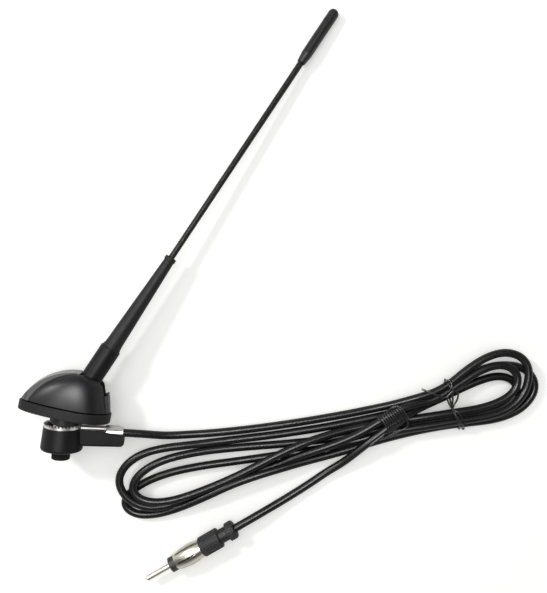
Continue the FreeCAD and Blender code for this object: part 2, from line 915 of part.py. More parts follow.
def make_hank_tie():
    half = hank_tie_width / 2
    band = block(0, tie_span, -half, half, 0, hank_height)
    return moved(band.cut(tie_core(0)), tie_place)


def twin_bar(radius, start, end):
    """A flat bar along X, the size of two strands side by side."""
    spread = wrap_strand_spread
    rounds = []
    for side in (-1, 1):
        rounds.append(Part.makeCylinder(radius, end - start, Vector(start, side * spread, 0), Vector(1, 0, 0)))
    return block(start, end, -spread, spread, -radius, radius).fuse(rounds).removeSplitter()


def make_wrap_tie():
    pitch = wrap_length / wrap_turns
    body = twin_bar(wrap_radius, 0, wrap_length)
    for i in range(wrap_turns):
        low = i * pitch
        start, end = low + pitch * wrap_wire_flank, low + pitch * (1 - wrap_wire_flank)
        wire = twin_bar(wrap_radius + wrap_wire_rise, start, end)
        body = body.fuse(wire)
    body = body.removeSplitter().cut(twin_bar(wrap_bore, 0, wrap_length))
    return moved(body, wrap_place)


def make_hank():
    body = loop_prism(hank_edge, 0, hank_height)
    for eye in (lower_eye, upper_eye, right_eye):
        body = body.cut(loop_prism(eye, 0, hank_height))
    half = hank_tie_width / 2 + tie_gap
    slab = block(-hank_tie_width, tie_span + hank_tie_width, -half, half, 0, hank_height)
    body = body.cut(moved(slab.cut(tie_core(tie_gap)), tie_place))
    recess = twin_bar(wrap_radius + wrap_wire_rise + tie_gap, -tie_gap, wrap_length + tie_gap)
    turns_inside = twin_bar(wrap_bore - tie_gap, -wrap_lead_in, wrap_length + wrap_lead_in)
    body = body.cut(moved(recess, wrap_place)).fuse(moved(turns_inside, wrap_place))
    return body.removeSplitter()


# Radio plug, drawn along X from the cable side
def turned_along(profile):
    """A solid turned about X from (position, radius) corners."""
    corners = [Vector(x, 0, r) for x, r in profile]
    face = Part.Face(Part.makePolygon(corners + corners[:1]))
    return face.revolve(Vector(0, 0, 0), Vector(1, 0, 0), 360)


neck_start = flange_length
body_start = neck_start + plug_neck_length
handle_end = body_start + handle_length
shield_end = handle_end + shield_length
pin_base = shield_end + insulator_length
pin_end = pin_base + plug_pin_length


def make_plug_handle():
    e = handle_edge
    body = turned_along([
        (0, 0),
        (0, flange_radius - e),
        (e, flange_radius),
        (flange_length - e, flange_radius),
        (neck_start, plug_neck_radius),
        (body_start, plug_neck_radius),
        (body_start + e, handle_radius),
        (handle_end - e, handle_radius),
        (handle_end, handle_radius - e),
        (handle_end, 0),
    ])
    body = body.cut(along(cable_radius + close_fit, 0, handle_bore_length))
    return body.cut(along(shield_rear_radius + close_fit, handle_end - shield_inset - close_fit, handle_end))


def make_plug_shield():
    start = handle_end - shield_inset
    bulge = handle_end + shield_bulge_share * shield_length
    edges = []
    for inset in (0, shield_wall):
        a = Vector(handle_end, 0, shield_rear_radius - inset)
        b = Vector(bulge, 0, shield_bulge_radius - inset)
        c = Vector(shield_end, 0, shield_front_radius - inset)
        root = Vector(start, 0, shield_rear_radius - inset)
        edges.append(Part.makeLine(root, a))
        edges.append(Part.Arc(a, b, c).toShape())
    outer_root = Vector(start, 0, shield_rear_radius)
    inner_root = Vector(start, 0, shield_rear_radius - shield_wall)
    outer_tip = Vector(shield_end, 0, shield_front_radius)
    inner_tip = Vector(shield_end, 0, shield_front_radius - shield_wall)
    edges.append(Part.makeLine(outer_root, inner_root))
    edges.append(Part.makeLine(outer_tip, inner_tip))
    wire = Part.Wire(Part.__sortEdges__(edges))
    body = Part.Face(wire).revolve(Vector(0, 0, 0), Vector(1, 0, 0), 360)
    half = shield_slot_width / 2
    slots = []
    for i in range(shield_slots):
        slot = block(handle_end + shield_slot_start, handle_end + shield_slot_end, -half, half,
                     plug_pin_radius, 2 * shield_bulge_radius)
        slot.rotate(Vector(0, 0, 0), Vector(1, 0, 0), 360.0 * i / shield_slots)
        slots.append(slot)
    return body.cut(slots)


def make_plug_insulator():
    stem_start = shield_end - insulator_stem_length
    stem = along(shield_front_radius - shield_wall - close_fit, stem_start, shield_end)
    body = along(insulator_radius, shield_end, pin_base).fuse(stem).removeSplitter()
    return body.cut(along(plug_pin_root_radius + close_fit, stem_start, pin_base))


def make_plug_pin():
    return turned_along([
        (pin_base - plug_pin_root, 0),
        (pin_base - plug_pin_root, plug_pin_root_radius),
        (pin_base + easy_fit, plug_pin_root_radius),
        (pin_base + easy_fit, plug_pin_radius),
        (pin_end - plug_pin_tip, plug_pin_radius),
        (pin_end - plug_pin_tip / 4, plug_pin_radius - plug_pin_tip_slope * plug_pin_tip),
        (pin_end, plug_pin_radius - plug_pin_tip),
        (pin_end, 0),
    ])


node_shapes["lead_run_base"] = tube("lead_run_base", base_route)
node_shapes["lead_run_plug"] = tube("lead_run_plug", plug_route)
node_shapes["lead_hank"] = make_hank()
node_shapes["hank_tie"] = make_hank_tie()
node_shapes["wrap_tie"] = make_wrap_tie()
node_shapes["plug_handle"] = moved(make_plug_handle(), plug_place)
node_shapes["plug_shield"] = moved(make_plug_shield(), plug_place)
node_shapes["plug_insulator"] = moved(make_plug_insulator(), plug_place)
node_shapes["plug_pin"] = moved(make_plug_pin(), plug_place)

for name, shape in node_shapes.items():
    solids = shape.Solids
    kept = solids[0] if len(solids) == 1 else Part.makeCompound(solids)
    print(name, len(solids), kept.isValid(), round(kept.Volume, 1))
    kept.exportStep("parts/" + name + ".step")
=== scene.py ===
import math

import bpy
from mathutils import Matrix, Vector


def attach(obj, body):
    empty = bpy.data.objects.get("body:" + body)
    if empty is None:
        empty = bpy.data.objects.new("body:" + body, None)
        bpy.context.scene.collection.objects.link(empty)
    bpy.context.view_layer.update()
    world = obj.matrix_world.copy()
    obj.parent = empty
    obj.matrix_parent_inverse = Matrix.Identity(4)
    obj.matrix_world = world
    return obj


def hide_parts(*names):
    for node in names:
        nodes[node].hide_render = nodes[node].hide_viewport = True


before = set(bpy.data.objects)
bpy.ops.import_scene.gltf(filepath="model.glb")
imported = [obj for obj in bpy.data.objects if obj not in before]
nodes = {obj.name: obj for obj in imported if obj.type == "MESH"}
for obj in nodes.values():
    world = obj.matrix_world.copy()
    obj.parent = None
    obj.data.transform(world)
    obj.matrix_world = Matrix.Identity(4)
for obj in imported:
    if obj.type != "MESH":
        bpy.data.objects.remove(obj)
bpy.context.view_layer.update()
print("frame loaded,", len(nodes), "nodes")

# places and directions that several pieces share, in metres
layout = {
    "pivot": Vector((-0.0545296, -0.0896123, 0.0151913)),
    "mastAxis": Vector((0.5471755, 0.8356933, -0.0470708)),
    "clampAxis": Vector((0.2027648, 0.9791141, 0.0148976)),
    "plugRear": Vector((0.0296, -0.1698, 0.0058)),
    "plugAxis": Vector((-0.866897, -0.498488, 0.0)),
    "stud": Vector((-0.0640308, -0.1033862, 0.0160443)),
    "gasketHeight": 0.0053,
    "groove": 0.0006,
}
mast = layout["mastAxis"]
plug = layout["plugAxis"]
clamp = layout["clampAxis"]
domeSide = clamp.cross(mast).normalized()


def turnTo(axis):
    return Vector((0, 0, 1)).rotation_difference(axis)


# a node, with the values of its sockets by name or place
def addNode(tree, kind, values=None, operation=None):
    added = tree.nodes.new(kind)
    if operation is not None:
        added.operation = operation
    for socket, value in (values or {}).items():
        added.inputs[socket].default_value = value
    return added


# a colour mix takes its share at 0 and its colours at 6 and 7, and gives the result at 2
def addColorMix(tree, values):
    added = addNode(tree, "ShaderNodeMix", values)
    added.data_type = "RGBA"
    return added


def join(tree, *links):
    for start, end in links:
        tree.links.new(start, end)


# Materials. All read Object coordinates; a Mapping node lines a grain up with its piece.
grainShape = {
    "driftScale": 60, "driftDetail": 4, "driftFrom": 0.3, "driftTo": 0.75,
    "fineDetail": 3, "fineRoughness": 0.6, "glossFrom": 0.3, "glossTo": 0.7, "sheenRoughness": 0.5,
}
domeLook = {
    "side": domeSide,
    "middle": domeSide.dot(layout["stud"]),
    "bandHalf": 0.00602,
    "bandEnd": layout["pivot"].x,
    # the band's paler colour is a painted reflection
    "bandReflectionColor": (0.034, 0.034, 0.035, 1),
    "bandShine": 1.0,
    "bandRoughness": 0.18,
    "foot": clamp.dot(layout["stud"]) + layout["gasketHeight"] + layout["groove"],
    "footEdge": 0.0001,
    # near black on the foot strip: painted shade
    "footShadeColor": (0.001, 0.001, 0.001, 1),
}


def paintDome(tree, place, look, shade, shine, evenness):
    # the flat band over the crest, ahead of the mast, is smoother and paler; the paler colour is a painted reflection
    across = addNode(tree, "ShaderNodeVectorMath", {1: look["side"]}, operation="DOT_PRODUCT")
    inBand = addNode(tree, "ShaderNodeMath", {1: look["middle"], 2: look["bandHalf"]}, operation="COMPARE")
    along = addNode(tree, "ShaderNodeSeparateXYZ")
    ahead = addNode(tree, "ShaderNodeMath", {1: look["bandEnd"]}, operation="LESS_THAN")
    onBand = addNode(tree, "ShaderNodeMath", operation="MULTIPLY")
    paintedBandReflection = addColorMix(tree, {7: look["bandReflectionColor"]})
    brighter = addNode(tree, "ShaderNodeMix", {"A": shine, "B": look["bandShine"]})
    smoother = addNode(tree, "ShaderNodeMix", {"B": look["bandRoughness"]})
    join(tree,
         (place, across.inputs[0]), (across.outputs["Value"], inBand.inputs[0]),
         (place, along.inputs[0]), (along.outputs["X"], ahead.inputs[0]),
         (inBand.outputs[0], onBand.inputs[0]), (ahead.outputs[0], onBand.inputs[1]),
         (onBand.outputs[0], paintedBandReflection.inputs[0]), (shade, paintedBandReflection.inputs[6]),
         (onBand.outputs[0], brighter.inputs["Factor"]),
         (onBand.outputs[0], smoother.inputs["Factor"]), (evenness, smoother.inputs["A"]))

    # the set-back strip at the foot is painted near black as painted shade, and its highlights are turned down
    height = addNode(tree, "ShaderNodeVectorMath", {1: clamp}, operation="DOT_PRODUCT")
    rise = addNode(tree, "ShaderNodeMapRange", {"From Min": look["foot"], "From Max": look["foot"] + look["footEdge"]})
    paintedFootShade = addColorMix(tree, {6: look["footShadeColor"]})
    fainter = addNode(tree, "ShaderNodeMath", operation="MULTIPLY")
    join(tree,
         (place, height.inputs[0]), (height.outputs["Value"], rise.inputs["Value"]),
         (rise.outputs["Result"], paintedFootShade.inputs[0]), (paintedBandReflection.outputs[2], paintedFootShade.inputs[7]),
         (rise.outputs["Result"], fainter.inputs[0]), (brighter.outputs["Result"], fainter.inputs[1]))
    return paintedFootShade.outputs[2], fainter.outputs[0], smoother.outputs["Result"]


def makeMaterial(name, color, roughness, grain, bump, depth, swing=0.05, metal=0.0, mottle=0.25, shine=0.5, sheen=0.0,
                 axis=None, stretch=(1, 1, 1), speckle=0.0, dome=None):
    material = bpy.data.materials.new(name)
    material.use_nodes = True
    tree = material.node_tree
    shader = tree.nodes["Principled BSDF"]
    shader.inputs["Metallic"].default_value = metal
    shader.inputs["Specular IOR Level"].default_value = shine
    shader.inputs["Sheen Weight"].default_value = sheen
    shader.inputs["Sheen Roughness"].default_value = grainShape["sheenRoughness"]

    # broad colour drift over the whole piece
    place = addNode(tree, "ShaderNodeTexCoord").outputs["Object"]
    drift = addNode(tree, "ShaderNodeTexNoise",
                    {"Scale": grainShape["driftScale"], "Detail": grainShape["driftDetail"]})
    tint = addNode(tree, "ShaderNodeValToRGB")
    darker, lighter = tint.color_ramp.elements
    darker.position = grainShape["driftFrom"]
    lighter.position = grainShape["driftTo"]
    darker.color = [c * (1 - mottle) for c in color] + [1]
    lighter.color = [c * (1 + mottle) for c in color] + [1]
    join(tree, (place, drift.inputs["Vector"]), (drift.outputs["Fac"], tint.inputs["Fac"]))
    shade = tint.outputs["Color"]

    # fine grain, in its own direction where the piece has one
    turn = addNode(tree, "ShaderNodeMapping", {"Scale": stretch})
    turn.vector_type = "TEXTURE"
    if axis is not None:
        turn.inputs["Rotation"].default_value = turnTo(axis).to_euler()
    fine = addNode(tree, "ShaderNodeTexNoise",
                   {"Scale": grain, "Detail": grainShape["fineDetail"], "Roughness": grainShape["fineRoughness"]})
    gloss = addNode(tree, "ShaderNodeMapRange",
                    {"From Min": grainShape["glossFrom"], "From Max": grainShape["glossTo"],
                     "To Min": roughness - swing, "To Max": roughness + swing})
    relief = addNode(tree, "ShaderNodeBump", {"Strength": bump, "Distance": depth})
    join(tree,
         (place, turn.inputs["Vector"]), (turn.outputs["Vector"], fine.inputs["Vector"]),
         (fine.outputs["Fac"], gloss.inputs["Value"]), (fine.outputs["Fac"], relief.inputs["Height"]),
         (relief.outputs["Normal"], shader.inputs["Normal"]))
    evenness = gloss.outputs["Result"]
    if speckle:
        specks = addColorMix(tree, {0: speckle})
        specks.blend_type = "ADD"
        join(tree, (shade, specks.inputs[6]), (fine.outputs["Fac"], specks.inputs[7]))
        shade = specks.outputs[2]
    if dome is not None:
        shade, highlights, evenness = paintDome(tree, place, dome, shade, shine, evenness)
        join(tree, (highlights, shader.inputs["Specular IOR Level"]))
    join(tree, (shade, shader.inputs["Base Color"]), (evenness, shader.inputs["Roughness"]))
    return material


# grain is the noise's scale, bump and depth are how strongly it shows, stretch is along the axis
looks = {
    "domeShell": {"color": (0.011, 0.011, 0.013), "roughness": 0.37, "grain": 2600, "bump": 0.35, "depth": 0.00004,
                  "shine": 0.4, "dome": domeLook},
    "gasketRubber": {"color": (0.011, 0.011, 0.011), "roughness": 0.58, "grain": 1700, "bump": 0.7, "depth": 0.00008,
                     "swing": 0.1, "shine": 0.28, "sheen": 0.04},
    "castBlack": {"color": (0.012, 0.012, 0.013), "roughness": 0.48, "grain": 1500, "bump": 0.5, "depth": 0.00006,
                  "shine": 0.35},
    "turnedSteel": {"color": (0.55, 0.55, 0.57), "roughness": 0.3, "grain": 900, "bump": 0.3, "depth": 0.00002,
                    "metal": 1, "mottle": 0.06},
    "whiteNylon": {"color": (0.70, 0.69, 0.65), "roughness": 0.45, "grain": 900, "bump": 0.2, "depth": 0.00003,
                   "mottle": 0.04},
    "turnedBrass": {"color": (0.78, 0.58, 0.30), "roughness": 0.28, "grain": 1200, "bump": 0.3, "depth": 0.00002,
                    "metal": 1, "mottle": 0.08, "axis": clamp, "stretch": (1, 1, 0.1)},
    "zincPlate": {"color": (0.60, 0.61, 0.63), "roughness": 0.33, "grain": 1100, "bump": 0.3, "depth": 0.00002,
                  "metal": 1, "mottle": 0.08},
    "footPlastic": {"color": (0.008, 0.008, 0.009), "roughness": 0.46, "grain": 1500, "bump": 0.6, "depth": 0.00006,
                    "mottle": 0.4, "shine": 0.2, "axis": mast, "stretch": (1, 1, 2.5)},
    "sleeveRubber": {"color": (0.009, 0.009, 0.01), "roughness": 0.55, "grain": 1500, "bump": 0.8, "depth": 0.00009,
                     "swing": 0.1, "mottle": 0.4, "shine": 0.27, "sheen": 0.03, "axis": mast, "stretch": (1, 1, 1.6),
                     "speckle": 0.008},
    "whipCoat": {"color": (0.011, 0.011, 0.01), "roughness": 0.36, "grain": 2200, "bump": 0.4, "depth": 0.00004,
                 "shine": 0.35},
    "capPlastic": {"color": (0.013, 0.013, 0.014), "roughness": 0.4, "grain": 2200, "bump": 0.35, "depth": 0.00004},
    "nickelPlate": {"color": (0.86, 0.85, 0.82), "roughness": 0.33, "grain": 1600, "bump": 0.25, "depth": 0.00002,
                    "metal": 1, "mottle": 0.05},
    "nickelTurned": {"color": (0.70, 0.66, 0.57), "roughness": 0.3, "grain": 2600, "bump": 0.3, "depth": 0.00002,
                     "metal": 1, "mottle": 0.05, "axis": plug, "stretch": (1, 1, 12)},
    "housingPlastic": {"color": (0.008, 0.008, 0.009), "roughness": 0.44, "grain": 1900, "bump": 0.45,
                       "depth": 0.00005, "mottle": 0.4, "shine": 0.2, "axis": clamp, "stretch": (1, 1, 2)},
    "blackOxide": {"color": (0.018, 0.017, 0.017), "roughness": 0.42, "grain": 1400, "bump": 0.5, "depth": 0.00004,
                   "metal": 0.7, "mottle": 0.3},
    "copperWire": {"color": (0.80, 0.45, 0.28), "roughness": 0.3, "grain": 1500, "bump": 0.3, "depth": 0.00002,
                   "metal": 1, "mottle": 0.1},
    "leadJacket": {"color": (0.009, 0.009, 0.0095), "roughness": 0.3, "grain": 1100, "bump": 0.4, "depth": 0.00005,
                   "swing": 0.06, "mottle": 0.4, "shine": 0.35},
    "tieWire": {"color": (0.015, 0.015, 0.015), "roughness": 0.26, "grain": 1600, "bump": 0.3, "depth": 0.00003,
                "shine": 0.7},
    "plugGrip": {"color": (0.013, 0.013, 0.0135), "roughness": 0.5, "grain": 1600, "bump": 0.8, "depth": 0.0001,
                 "swing": 0.1, "mottle": 0.4, "shine": 0.4, "axis": plug, "stretch": (1, 1, 3), "speckle": 0.006},
    "plugCore": {"color": (0.035, 0.035, 0.032), "roughness": 0.45, "grain": 1500, "bump": 0.4, "depth": 0.00004},
}
finishes = {name: makeMaterial(name, **look) for name, look in looks.items()}
nodeFinish = {
    "base_gasket": "gasketRubber", "dome_cover": "domeShell", "base_bracket": "castBlack", "pivot_pin": "turnedSteel",
    "pivot_washers": "whiteNylon", "insulator_bush": "whiteNylon", "live_insert": "turnedBrass",
    "contact_leaf": "turnedBrass", "cover_screws": "zincPlate", "mast_foot": "footPlastic",
    "mast_seal_ring": "gasketRubber", "mast_thread": "turnedBrass", "mast_sleeve": "sleeveRubber",
    "whip_rod": "whipCoat", "tip_cap": "capPlastic", "earth_plate": "nickelPlate", "lead_housing": "housingPlastic",
    "clamp_screw": "blackOxide", "clamp_washer": "blackOxide", "core_terminal": "turnedBrass",
    "lead_ferrule": "nickelPlate", "centre_conductor": "copperWire", "plug_handle": "plugGrip",
    "plug_shield": "nickelTurned", "plug_insulator": "plugCore", "plug_pin": "nickelTurned",
}
for node, finish in nodeFinish.items():
    for slot in nodes[node].material_slots:
        slot.material = finishes[finish]
print("materials on", len(nodeFinish), "nodes")


# Geometry Nodes set-up shared by the winding and the plug's ribs
def newTree(name, sizes):
    tree = bpy.data.node_groups.new(name, "GeometryNodeTree")
    for label, value in sizes.items():
        kind = "NodeSocketInt" if isinstance(value, int) else "NodeSocketFloat"
        tree.interface.new_socket(label, in_out="INPUT", socket_type=kind)
    tree.interface.new_socket("Geometry", in_out="OUTPUT", socket_type="NodeSocketGeometry")
    return tree, addNode(tree, "NodeGroupInput").outputs, addNode(tree, "NodeGroupOutput")


def finishTree(tree, shape, out, material):
    realize = addNode(tree, "GeometryNodeRealizeInstances")
    smooth = addNode(tree, "GeometryNodeSetShadeSmooth")
    paint = addNode(tree, "GeometryNodeSetMaterial", {"Material": material})
    join(tree,
         (shape, realize.inputs["Geometry"]), (realize.outputs["Geometry"], smooth.inputs["Geometry"]),
         (smooth.outputs["Geometry"], paint.inputs["Geometry"]), (paint.outputs["Geometry"], out.inputs["Geometry"]))


def meshFromTree(name, tree, sizes, origin, axis):
    holder = bpy.data.objects.new(name, bpy.data.meshes.new(name))
    bpy.context.collection.objects.link(holder)
    modifier = holder.modifiers.new("shape", "NODES")
    modifier.node_group = tree
    for item in tree.interface.items_tree:
        if item.in_out == "INPUT":
            modifier[item.identifier] = sizes[item.name]
    mesh = bpy.data.meshes.new_from_object(holder.evaluated_get(bpy.context.evaluated_depsgraph_get()))
    holder.modifiers.remove(modifier)
    place = turnTo(axis).to_matrix().to_4x4()
    place.translation = origin
    mesh.transform(place)
    holder.data = mesh
    mesh.name = name
    return holder


# The whip's fine spiral winding under its coat. Each entry is an input of the tree, as with the ribs.
winding = {"Length": 0.1345, "Radius": 0.00158, "Pitch": 0.00105, "Wire": 0.00034, "Steps": 20}
windingStart = 0.0888
windingSides = 6
tree, given, out = newTree("whipWinding", winding)
turns = addNode(tree, "ShaderNodeMath", operation="DIVIDE")
spiral = addNode(tree, "GeometryNodeCurveSpiral")
wire = addNode(tree, "GeometryNodeCurvePrimitiveCircle", {"Resolution": windingSides})
sweep = addNode(tree, "GeometryNodeCurveToMesh", {"Fill Caps": True})
join(tree,
     (given["Length"], turns.inputs[0]), (given["Pitch"], turns.inputs[1]),
     (turns.outputs[0], spiral.inputs["Rotations"]), (given["Length"], spiral.inputs["Height"]),
     (given["Steps"], spiral.inputs["Resolution"]), (given["Radius"], spiral.inputs["Start Radius"]),
     (given["Radius"], spiral.inputs["End Radius"]), (given["Wire"], wire.inputs["Radius"]),
     (spiral.outputs["Curve"], sweep.inputs["Curve"]), (wire.outputs["Curve"], sweep.inputs["Profile Curve"]))
finishTree(tree, sweep.outputs["Mesh"], out, finishes["whipCoat"])
whipWinding = meshFromTree("whip_winding", tree, winding, layout["pivot"] + windingStart * mast, mast)
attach(whipWinding, "mast")
print("whip winding:", len(whipWinding.data.polygons), "faces")

# Ribs moulded along the plug's grip and its rear flange, from one tree
grip = {"Length": 0.0112, "Ring": 0.0055, "Rib": 0.00034, "Count": 30}
gripStart = 0.0102
flange = {"Length": 0.0036, "Ring": 0.00505, "Rib": 0.00034, "Count": 27}
flangeStart = 0.0007
ribSides = 8
tree, given, out = newTree("gripRibs", grip)
ring = addNode(tree, "GeometryNodeMeshCircle")
end = addNode(tree, "ShaderNodeCombineXYZ")
line = addNode(tree, "GeometryNodeCurvePrimitiveLine")
section = addNode(tree, "GeometryNodeCurvePrimitiveCircle", {"Resolution": ribSides})
rib = addNode(tree, "GeometryNodeCurveToMesh", {"Fill Caps": True})
copies = addNode(tree, "GeometryNodeInstanceOnPoints")
join(tree,
     (given["Count"], ring.inputs["Vertices"]), (given["Ring"], ring.inputs["Radius"]),
     (given["Length"], end.inputs["Z"]), (end.outputs["Vector"], line.inputs["End"]),
     (given["Rib"], section.inputs["Radius"]), (line.outputs["Curve"], rib.inputs["Curve"]),
     (section.outputs["Curve"], rib.inputs["Profile Curve"]), (ring.outputs["Mesh"], copies.inputs["Points"]),
     (rib.outputs["Mesh"], copies.inputs["Instance"]))
finishTree(tree, copies.outputs["Instances"], out, finishes["plugGrip"])
gripRibs = meshFromTree("grip_ribs", tree, grip, layout["plugRear"] + gripStart * plug, plug)
flangeRibs = meshFromTree("flange_ribs", tree, flange, layout["plugRear"] + flangeStart * plug, plug)
for ribs in (gripRibs, flangeRibs):
    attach(ribs, "base")
print("plug ribs made")

# Lines of the lead and its ties. Their points are millimetres on the table.
perMetre = 1000
softCurve = {"order": 3, "steps": 6}


def softLine(name, points, thickness, rings, material, closed=False):
    curve = bpy.data.curves.new(name, "CURVE")
    curve.dimensions = "3D"
    curve.bevel_depth = thickness / 2 / perMetre
    curve.bevel_resolution = rings
    curve.use_fill_caps = True
    curve.materials.append(material)
    spline = curve.splines.new("NURBS")
    spline.points.add(len(points) - 1)
    for place, point in zip(spline.points, points):
        place.co = [along / perMetre for along in point] + [1]
    spline.order_u = softCurve["order"]
    spline.use_endpoint_u = not closed
    spline.use_cyclic_u = closed
    spline.resolution_u = softCurve["steps"]
    piece = bpy.data.objects.new(name, curve)
    bpy.context.collection.objects.link(piece)
    return piece


def asMesh(piece):
    mesh = bpy.data.meshes.new_from_object(piece.evaluated_get(bpy.context.evaluated_depsgraph_get()))
    name = piece.name
    bpy.data.objects.remove(piece)
    solid = bpy.data.objects.new(name, mesh)
    bpy.context.collection.objects.link(solid)
    for face in mesh.polygons:
        face.use_smooth = True
    return solid


# several lengths of one wire, as one mesh
def wirePiece(name, sizes, lines, closedOnes=()):
    meshes = []
    for i, points in enumerate(lines):
        line = softLine(name, points, sizes["wire"], sizes["rings"], finishes["tieWire"], i in closedOnes)
        meshes.append(asMesh(line))
    with bpy.context.temp_override(active_object=meshes[0], selected_editable_objects=meshes):
        bpy.ops.object.join()
    meshes[0].name = name
    return meshes[0]


